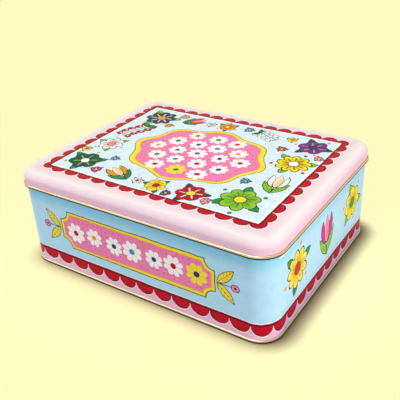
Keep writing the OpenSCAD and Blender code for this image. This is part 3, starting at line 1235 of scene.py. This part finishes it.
wall_print, tree, shader, place = start_finish("wall_print")
strip = tree.nodes.new("ShaderNodeUVMap")
strip.uv_map = "wrap"
strip_mm = Measure(vector_sum("MULTIPLY", Measure(strip.outputs[0]), (1 / MM, 1 / MM, 0)).outputs[0])
_, true_up, _ = parted(strip_mm)
spot = placed(hand_wobble, tree, Spot=strip_mm, Swing=RULED_SWING)
u, v, _ = parted(spot)
front = u - (u / HALF_STRIP).worked("ROUND") * HALF_STRIP
shifted = u - HALF_STRIP / 2
flank = shifted - (shifted / HALF_STRIP).worked("ROUND") * HALF_STRIP

blue = placed(ink_wash, tree, Colour=WALL_BLUE, Spot=spot, Pooling=WALL_POOLING)
# the blue deepens towards the top, partly print and partly painted shade under the lid
colour = painted(blue, ramped(true_up, *BLUE_DEEPENS) * DEEP_SHARE, DEEP_BLUE_AND_SHADE)
on_flank = filled(abs(flank) - LID_LINE_HALF, LID_LINE_FADE)
colour = painted(colour, lined(true_up - LID_LINE, LID_LINE_WIDE) * on_flank, WHITE)
print("the strip is", round(2 * HALF_STRIP, 1), "mm long")

# %% [markdown]
# ### The edging round the foot
# Below a straight line the strip is pink, and the scallops hang from that
# line. Their pitch is the length of the strip shared out evenly, so that the
# row closes at the seam.

# %% The edging round the foot
SCALLOPS_ROUND = 48
WALL_PITCH = 2 * HALF_STRIP / SCALLOPS_ROUND
WALL_DEPTH = 8.0
WALL_NOTCH = 0.2
WALL_RING = 0.95           # width of the pale ring round the edging
FOOT_LINE = 13.2           # height of the line that the scallops hang from
PALE_LINE = (1.3, 0.8)     # how far above that height, and how wide
CRIMSON_LINE = (0.3, 1.2)

colour = painted(colour, filled(v - FOOT_LINE), FOOT_PINK)
edging = placed(scallop_row, tree, Along=u, Out=FOOT_LINE - v, Pitch=WALL_PITCH, Depth=WALL_DEPTH,
                Notch=WALL_NOTCH)
colour = painted(colour, filled(edging - WALL_RING), LID_PINK)
colour = edged(colour, edging, spot)
colour = painted(colour, lined(v - (FOOT_LINE + PALE_LINE[0]), PALE_LINE[1]), LID_PINK)
colour = painted(colour, lined(v - (FOOT_LINE + CRIMSON_LINE[0]), CRIMSON_LINE[1]), DEEP_RED)
print(SCALLOPS_ROUND, "scallops round the foot,", round(WALL_PITCH, 2), "mm each")

# %% [markdown]
# ### The flowers on the sides
# Each side carries three upright flowers, drawn by the same group as the
# posies on the lid. They are larger than those, and stand clear of each other.

# %% The flowers on the sides
FLANK_POSIES = [
    (-44, 37, 17, BLOOM, 9, 18, YELLOW, ORANGE, RED, GREEN),
    (0, 37, 18, TULIP, 5, 4, MAGENTA, ROSE, WHITE, LIME),
    (44, 38, 16, BLOOM, 7, -10, LEMON, ORANGE, GREEN, LIME),
]
colour = posies(colour, spot_at(flank, v), FLANK_POSIES)
print(len(FLANK_POSIES), "flowers on each side")

# %% [markdown]
# ### Painted shade towards the foot of the sides
# Low on the two sides every ink runs darker and more crimson: painted shade
# where the sides stand over the shadowed floor. What is printed there is
# multiplied by a crimson and mixed in, by how low it is and how far round
# the corner.

# %% Painted shade at the foot of the sides
FOOT_SHADE_TINT = (0.3, 0.4, 0.7)
MOST_FOOT_SHADE = 0.6
DEEPEST, DEEPENS_FROM = 6, 20        # heights
ALL_ON_SIDE = CORE_Y / MM - 4        # from the middle of a side
STARTS_ON_SIDE = CORE_Y / MM + 14

on_side = ramped(abs(flank), STARTS_ON_SIDE, ALL_ON_SIDE)
low_down = ramped(v, DEEPENS_FROM, DEEPEST)
# painted shade: the printed colour times a crimson tint, mixed in low on the sides
foot_shaded = Measure(vector_sum("MULTIPLY", colour, FOOT_SHADE_TINT).outputs[0])
colour = painted(colour, on_side * low_down * MOST_FOOT_SHADE, foot_shaded)
print("the ink deepens over", DEEPENS_FROM - DEEPEST, "mm")

# %% [markdown]
# ### The label on the front and back
# A long label with cut-in corners, like an old shop drawer's, holds one row of
# daisies. A rectangle's distance gives its sides, and four circles set at its
# corners are taken away. At each end two leaves and a bud stand out from it.

# %% The label
LABEL_X = 62.0
LABEL_Y = 14.5
LABEL_MID = 35.5
LABEL_CUT = 7.0
END_GAP = 1.5              # from the label to the foot of its end leaves
END_LEAF = (16.5, 6.0)     # how long and how wide such a leaf is
END_LEAF_TURN = 46
BUD_OUT, BUD_R = 12.5, 2.7
BUD_EYE = 0.3              # as a share of the bud
BUD_STALK_HALF = 0.3
BUD_STALK_SHORT = 1.5      # the stalk stops this far before the middle of the bud
LABEL_BORDER = (2.3, 0.5)  # its middling width, and how much that varies
LABEL_SWELL = 0.05         # radians of its swelling to a millimetre
LABEL_PEN, INNER_PEN = 0.8, 0.5

label_x, label_y = abs(front), abs(v - LABEL_MID)
label = (label_x - LABEL_X).most(label_y - LABEL_Y).most(
    LABEL_CUT - length(label_x - LABEL_X, label_y - LABEL_Y))
tip_x, tip_y = label_x - (LABEL_X + END_GAP), v - LABEL_MID
leaf_x, leaf_y = spun_about(tip_x, abs(tip_y), END_LEAF_TURN)
colour = leaf_on(colour, leaf_x, leaf_y, *END_LEAF, YELLOW)
stalk = (abs(tip_y) - BUD_STALK_HALF).most(tip_x - (BUD_OUT - BUD_STALK_SHORT))
bud = length(tip_x - BUD_OUT, tip_y)
colour = painted(colour, filled(stalk) * filled(-tip_x), PEN)
colour = painted(colour, filled(bud - BUD_R), ROSE)
colour = painted(colour, lined(bud - BUD_R, INNER_PEN).most(filled(bud - BUD_EYE * BUD_R)), PEN)
border = (front * LABEL_SWELL).worked("SINE") * LABEL_BORDER[1] + LABEL_BORDER[0]
colour = rose_ground(colour, label, border, spot, LABEL_PEN, INNER_PEN)
colour = placed(daisies, tree, Under=colour, Spot=spot_at(front, v - LABEL_MID), **{
    "Cell X": 16.2, "Cell Y": 40.0, "Stagger": 0.0, "Room X": LABEL_X - 8, "Room Y": 20.0, "Reach": 7.7})
feed(colour, shader.inputs["Base Color"])
varnished(shader, place)
print("wall print:", len(tree.nodes), "nodes")

# %% [markdown]
# ## The lid
# A press draws the lid from one sheet: a flat top, a round shoulder, a short
# skirt, and a rim that is rolled outwards and tucked back against the skirt, so
# that no raw edge is left to cut a hand. Bevelled boxes could fake the outside,
# but the roll would then be a solid bead. Here it is the sheet itself, bent.

# %% The lid's section and its piece
SHOULDER_R = 5.4 * MM
RIM_H = 2.4 * MM
ROLL_R = RIM_OUT / 2
TUCK_R = ROLL_R - SHEET / 2 - FOLD_GAP / 2
TUCK_DROP = 0.4 * MM
SKIRT = -SHEET / 2
tuck_z = RIM_FOOT + RIM_H - TUCK_R - SHEET / 2

lid_bends = [
    (-CORNER_R, TIN_H - SHEET / 2, 0, -90, -90),
    (-SHOULDER_R, TIN_H - SHOULDER_R, SHOULDER_R - SHEET / 2, 90, 0),
    (SKIRT + ROLL_R, RIM_FOOT + ROLL_R + SHEET / 2, ROLL_R, 180, 360),
    (SKIRT + 2 * ROLL_R - TUCK_R, tuck_z, TUCK_R, 0, 180),
    (SKIRT + 2 * ROLL_R - 2 * TUCK_R, tuck_z - TUCK_DROP, 0, 180, 180),
]

bm = round_sheet(lid_bends, with_middle=True)
face_outwards(bm)
lid = sheet_piece(bm, "printed_lid", lid_print, bare_tin)
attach(lid, "lid")
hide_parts("lid")

# %% [markdown]
# ## The wall
# The wall is one long strip. Its top edge is curled inwards into a smooth bead
# that the lid rests on, and its foot is bent outwards into a small hook that
# the base is folded over. The curl carries the printed side over the top, so
# its crown is blue, and it hides the raw edge and the last of the bare side.

# %% The wall's section
CURL_D = 1.8 * MM
CURL_R = (CURL_D - SHEET) / 2
CURL_SWEEP = 290
SEAM_H = SEAM_TOP * MM
FOOT_R = PITCH + SHEET / 2 + 0.05 * MM
HOOK_R = FOOT_R - PITCH
HOOK_END_GAP = 0.05 * MM
seam_top = SEAM_H - PITCH - SHEET / 2
curl_z = wall_top - CURL_R - SHEET / 2

wall_bends = [
    (WALL + 2 * PITCH, seam_top - HOOK_END_GAP, 0, 180, 180),
    (WALL + 2 * PITCH - HOOK_R, SHEET / 2 + FOOT_R, HOOK_R, 0, -90),
    (WALL + HOOK_R, SHEET / 2 + FOOT_R, HOOK_R, -90, -180),
    (WALL - CURL_R, curl_z, CURL_R, 0, CURL_SWEEP),
]
print("curl centre at", round(curl_z / MM, 3), "mm")

# %% [markdown]
# ## The lock seam up the back: its plan
# The strip's two ends are folded into hooks, caught in each other and pressed
# flat. From outside it is one fine groove, and inside it is a rib four layers
# deep. Each folded end is written as bends, as the sections were, but seen
# from above: across is along the back wall, and out is away from the tin.

# %% The folded ends in plan
LOCK_W = 3 * MM
LOCK_END_GAP = 0.1 * MM
LOCK_INSET = 1 * MM        # it stops this far from the base's step and from the curl
RECESS_H = 2.6 * MM
STEP_H = 0.6 * MM
lock_low = RECESS_H + STEP_H + LOCK_INSET
lock_high = curl_z - CURL_D / 2 - LOCK_INSET
lock_reach = LOCK_W / 2 + 6 * PITCH

left_fold = [
    (-lock_reach, 0, 0, -90, -90),
    (LOCK_W / 2, -PITCH, PITCH, 90, -90),
    (-LOCK_W / 2 + LOCK_END_GAP, -2 * PITCH, 0, 90, 90),
]
right_fold = [
    (lock_reach, 0, 0, 90, 90),
    (LOCK_W / 2 + 6 * PITCH * cos(radians(30)), -4 * PITCH, 4 * PITCH, 90, 150),
    (LOCK_W / 2, -PITCH, 2 * PITCH, -30, -90),
    (-LOCK_W / 2, -2 * PITCH, PITCH, -90, -270),
    (LOCK_W / 2 - LOCK_END_GAP, -PITCH, 0, -90, -90),
]
print("lock seam from", round(lock_low / MM, 2), "to", round(lock_high / MM, 2), "mm")

# %% [markdown]
# ### Cutting the wall open
# The plain wall has to make room for the folds. Four bisecting planes cut its
# faces along the window's edges, without moving anything, and the faces inside
# are then deleted. A boolean would do it too, but it is slower and leaves
# long triangles on a panel that has to stay smooth.

# %% Cut the window
def cut_window(bm):
    """Cuts the plain wall away where the folded ends go."""
    for place, normal in (((lock_reach, 0, 0), (1, 0, 0)), ((-lock_reach, 0, 0), (1, 0, 0)),
                          ((0, 0, lock_low), (0, 0, 1)), ((0, 0, lock_high), (0, 0, 1))):
        back = [f for f in bm.faces if f.calc_center_median().y > CORE_Y]
        geom = list({item for f in back for item in (f, *f.edges, *f.verts)})
        bmesh.ops.bisect_plane(bm, geom=geom, dist=MERGE / 2, plane_co=place, plane_no=normal)
    window = [f for f in bm.faces
              if abs(f.calc_center_median().x) < lock_reach and f.calc_center_median().y > CORE_Y
              and lock_low < f.calc_center_median().z < lock_high]
    bmesh.ops.delete(bm, geom=window, context="FACES")


bm = round_sheet(wall_bends, with_middle=False)
cut_window(bm)
print("wall with its window:", len(bm.faces), "faces")

# %% [markdown]
# ### Raising the folds
# Each fold is drawn as a wire at the seam's lower end and extruded up to its
# top. Its ends fall on the window's edges, so merging doubles joins it to the
# wall. The wall can then get its thickness in one go, folds and all.

# %% Fold the ends
def on_back(across, out):
    """A point of the lock seam's plan, at the seam's lower end."""
    return Vector((across, HALF_Y + WALL + out, lock_low))


def raise_fold(bm, bends):
    """Draws one folded end in plan and raises it to the seam's height."""
    before = set(bm.edges)
    bend_wire(bm, bends, on_back, (0, 0, 1))
    wire = [e for e in bm.edges if e not in before]
    grown = bmesh.ops.extrude_edge_only(bm, edges=wire)["geom"]
    verts = [v for v in grown if isinstance(v, bmesh.types.BMVert)]
    bmesh.ops.translate(bm, vec=(0, 0, lock_high - lock_low), verts=verts)


raise_fold(bm, left_fold)
raise_fold(bm, right_fold)
bmesh.ops.remove_doubles(bm, verts=bm.verts[:], dist=MERGE)
face_outwards(bm)
print("wall with its lock seam:", len(bm.faces), "faces")

# %% [markdown]
# ## A wrap for the printer
# The wall is printed flat and wrapped afterwards, so its print is laid out by
# the distance along the strip and the height. A UV map holds both in metres:
# u is nothing at the middle of the front and grows towards the right, and v is
# the height. A face that crosses the back carries on past the end of the strip
# instead of jumping to its start. Blender's own unwrapping could lay the wall
# out too, but not to a known scale, which the edging needs to close.

# %% Lay the wall out flat
def along_wall(point):
    """How far round the wall a point is from the middle of the front."""
    x, y = abs(point.x), point.y
    if x <= CORE_X:
        along = x if y < 0 else HALF_ROUND - x
    elif y < -CORE_Y:
        along = CORE_X + WALL_CORNER_R * atan2(x - CORE_X, -CORE_Y - y)
    elif y > CORE_Y:
        along = HALF_ROUND - CORE_X - WALL_CORNER_R * atan2(x - CORE_X, y - CORE_Y)
    else:
        along = CORE_X + QUARTER + y + CORE_Y
    return along if point.x >= 0 else -along


wrap = bm.loops.layers.uv.new("wrap")
for face in bm.faces:
    middle = along_wall(face.calc_center_median())
    for loop in face.loops:
        along = along_wall(loop.vert.co)
        along += 2 * HALF_ROUND * round((middle - along) / (2 * HALF_ROUND))
        loop[wrap].uv = (along, loop.vert.co.z)
print("once round the wall:", round(2 * HALF_ROUND / MM, 1), "mm")

# %% [markdown]
# ### The wall becomes a piece
# Only now does the strip get its gauge and its two finishes: print outside,
# bare tin inside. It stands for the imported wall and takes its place.

# %% The wall's piece
wall = sheet_piece(bm, "printed_wall", wall_print, bare_tin)
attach(wall, "tin")
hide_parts("body_wall")

# %% [markdown]
# ## The base
# The base plate is left bare. It is raised in the middle by a pressed step
# that stops it drumming, drops at its edge down the inside of the wall, and is
# folded round the wall's hook into the double seam that the tin stands on.
# From below one sees the recess and the step, and from the side only the
# seam's bright edge.

# %% The base plate
STEP_IN = 8 * MM
STEP_ANGLE = 45
CHUCK_R = 0.7 * MM
STEP_R = STEP_H / (2 * (1 - cos(radians(STEP_ANGLE))))
panel_z = RECESS_H + SHEET / 2
raised_z = panel_z + STEP_H
step_x = WALL - STEP_IN - 2 * STEP_R * sin(radians(STEP_ANGLE))
cover_end = SHEET + PITCH + 0.15 * MM

base_bends = [
    (-CORNER_R, raised_z, 0, -90, -90),
    (step_x, raised_z - STEP_R, STEP_R, 90, 90 - STEP_ANGLE),
    (step_x + 2 * STEP_R * sin(radians(STEP_ANGLE)), panel_z + STEP_R, STEP_R, 270 - STEP_ANGLE, 270),
    (WALL - PITCH - CHUCK_R, panel_z - CHUCK_R, CHUCK_R, 90, 0),
    (WALL - PITCH + FOOT_R, SHEET / 2 + FOOT_R, FOOT_R, 180, 270),
    (WALL + 3 * PITCH - FOOT_R, SHEET / 2 + FOOT_R, FOOT_R, 270, 360),
    (WALL + 2 * PITCH, seam_top, PITCH, 0, 180),
    (WALL + PITCH, cover_end, 0, 180, 180),
]

bm = round_sheet(base_bends, with_middle=True)
face_outwards(bm)
base = sheet_piece(bm, "base_with_foot_seam", bare_tin, bare_tin)
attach(base, "tin")
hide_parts("base_plate")

# %% [markdown]
# ## The stage
# The tin stands on a pale yellow sheet that fills the picture. A yellow floor
# would also throw yellow light on the tin, so it is yellow only where the
# camera or a reflection meets it, and neutral for every other ray. The Light
# Path node tells them apart, here and in the world's background.

# %% A colour that shows but isn't thrown
GROUND = (1.0, 0.955, 0.54, 1)
NEUTRAL = (0.55, 0.55, 0.55, 1)


def ground_or(thrown, tree):
    """The ground's colour for rays that look at it, and another for the light that it throws."""
    path = tree.nodes.new("ShaderNodeLightPath")
    looks = Measure(path.outputs["Is Camera Ray"]).most(path.outputs["Is Glossy Ray"])
    looks = looks.most(path.outputs["Is Transmission Ray"])
    return painted(thrown, looks, GROUND)


print("the ground shows as", GROUND[:3], "and throws light as", NEUTRAL[:3])

# %% [markdown]
# ### The floor and its contact shade
# The bright walls throw so much light down that the shadow at their foot
# nearly washes out. An Ambient Occlusion node puts the dark line back: it
# deepens the floor's colour within about a centimetre of the tin. It looks
# only towards the upper left, where the key lamp is, so that the shade falls
# on the side away from it. It belongs to the stage and never to the tin.

# %% Lay the floor
FLOOR_REACH = 6                    # metres each way, far past the picture's edges
SHADE_REACH = 13 * MM
SHADE_LOOKS = (-0.8, -0.3, 0.52)

bm = bmesh.new()
bmesh.ops.create_grid(bm, x_segments=1, y_segments=1, size=FLOOR_REACH)
mesh = bpy.data.meshes.new("floor")
bm.to_mesh(mesh)
bm.free()
floor = bpy.data.objects.new("floor", mesh)
bpy.context.scene.collection.objects.link(floor)
paper = bpy.data.materials.new("paper")
paper.use_nodes = True
shader = paper.node_tree.nodes["Principled BSDF"]
shader.inputs["Roughness"].default_value = 1.0
shader.inputs["Specular IOR Level"].default_value = 0.0
near_foot = paper.node_tree.nodes.new("ShaderNodeAmbientOcclusion")
near_foot.inputs["Distance"].default_value = SHADE_REACH
near_foot.inputs["Normal"].default_value = SHADE_LOOKS
feed(ground_or(NEUTRAL, paper.node_tree), near_foot.inputs["Color"])
feed(near_foot.outputs["Color"], shader.inputs["Base Color"])
mesh.materials.append(paper)
print("the floor reaches", FLOOR_REACH, "m each way")

# %% [markdown]
# ### The world
# An even grey from all round fills the shadows, as the walls of a white room
# would. It is kept low, because the lamps should shape the tin.

# %% The world
WORLD_LIGHT = 0.25
world = bpy.data.worlds.new("studio")
bpy.context.scene.world = world
world.use_nodes = True
sky = world.node_tree.nodes["Background"]
feed(ground_or((WORLD_LIGHT, WORLD_LIGHT, WORLD_LIGHT, 1), world.node_tree), sky.inputs["Color"])
print("world light:", WORLD_LIGHT)

# %% [markdown]
# ## Lamps: two suns overhead
# A wide sun stands for a big soft box above. At a strength of pi it would show
# a colour about as it is written, so each key has a share of that and the rest
# comes from the world and the boxes. The key comes a little from the left and
# the front. The floor has a key of its own, steeper and sharper, so that the
# tin's shadow stays narrow: one key for both would widen the shadow or flatten
# the tin. Light linking gives each lamp the collection of things that it lights.

# %% The keys
tin_only = bpy.data.collections.new("tin_only")
for piece in (lid, wall, base):
    tin_only.objects.link(piece)
floor_only = bpy.data.collections.new("floor_only")
floor_only.objects.link(floor)


def set_up(light, towards, lights_up):
    """Turns a lamp to face from that direction and keeps its light to one collection."""
    lamp = bpy.data.objects.new(light.name, light)
    bpy.context.scene.collection.objects.link(lamp)
    lamp.rotation_euler = Vector(towards).to_track_quat("Z", "Y").to_euler()
    lamp.light_linking.receiver_collection = lights_up
    return lamp


def soft_sun(name, towards, share, spread, lights_up):
    """A sun of that share of full light, as wide as spread in degrees."""
    light = bpy.data.lights.new(name, "SUN")
    light.energy = share * pi
    light.angle = radians(spread)
    set_up(light, towards, lights_up)
    print(name, "stands towards", towards)


soft_sun("key_upper_left", towards=(-0.21, -0.14, 0.97), share=0.76, spread=22, lights_up=tin_only)
soft_sun("key_on_floor", towards=(-0.1, -0.03, 0.99), share=0.76, spread=12, lights_up=floor_only)

# %% [markdown]
# ### Two soft boxes at the height of the walls
# A sun lights a flat wall evenly, but a lamp near the tin fades along it, and
# that fading is what makes the walls look large and flat. A warm box stands on
# the right, beside the front corner, and a weaker one before the left end of
# the front. Neither is seen by the camera, from whichever side it looks, and
# the right one isn't mirrored in the varnish either, which would hide the
# print on the lid from someone looking from the left.

# %% The soft boxes
BOX_H = 30 * MM


def soft_box(name, place, aim, watts, width, tint):
    """A round soft box for the tin, at a place on the floor plan and turned to another, in metres."""
    light = bpy.data.lights.new(name, "AREA")
    light.shape = "DISK"
    light.size = width
    light.energy = watts
    light.color = tint
    away = Vector(place) - Vector(aim)
    lamp = set_up(light, (*away, 0), tin_only)
    lamp.location = (*place, BOX_H)
    lamp.visible_camera = False
    print(name, "stands", round(away.length, 2), "m away")
    return lamp


fill_right = soft_box("fill_right", place=(0.48, -0.15), aim=(0.1, -0.08), watts=2.4, width=0.34,
                      tint=(1.0, 0.93, 0.86))
fill_right.visible_glossy = False
soft_box("fill_front_left", place=(-0.30, -0.40), aim=(-0.1, -0.08), watts=0.75, width=0.3,
         tint=(0.97, 1.0, 1.0))

# %% [markdown]
# ## Camera
# The camera stands half a metre off, above the tin's front right corner, and
# sees the top, the front and the right-hand side. It is placed by the point
# that it aims at and by three angles, which are easier to read and to change
# than a rotation: how far it is turned from the front, how high it is tilted,
# and how far it is rolled.

# %% Camera
CAMERA_TURN = 34.807
CAMERA_TILT = 29.243
CAMERA_ROLL = -3.214
CAMERA_AWAY = 559.555 * MM
CAMERA_AIM = Vector((-60.457, 87.642, -24.368)) * MM
SENSOR_MM, LENS_MM = 36, 53.8173
NEAR_CLIP = 10 * MM

turn, tilt, roll = radians(CAMERA_TURN), radians(CAMERA_TILT), radians(CAMERA_ROLL)
back = Vector((sin(turn) * cos(tilt), -cos(turn) * cos(tilt), sin(tilt)))
level_right = Vector((0, 0, 1)).cross(back).normalized()
level_up = back.cross(level_right)
right = cos(roll) * level_right + sin(roll) * level_up
up = cos(roll) * level_up - sin(roll) * level_right

camera_data = bpy.data.cameras.new("camera")
camera_data.sensor_width = SENSOR_MM
camera_data.lens = LENS_MM
camera_data.clip_start = NEAR_CLIP
camera = bpy.data.objects.new("camera", camera_data)
bpy.context.scene.collection.objects.link(camera)
stand = Matrix.Translation(CAMERA_AIM + back * CAMERA_AWAY)
camera.matrix_world = stand @ Matrix((right, up, back)).transposed().to_4x4()
bpy.context.scene.camera = camera
bpy.context.scene.view_settings.view_transform = "Standard"
print("camera at", [round(c, 4) for c in camera.location])
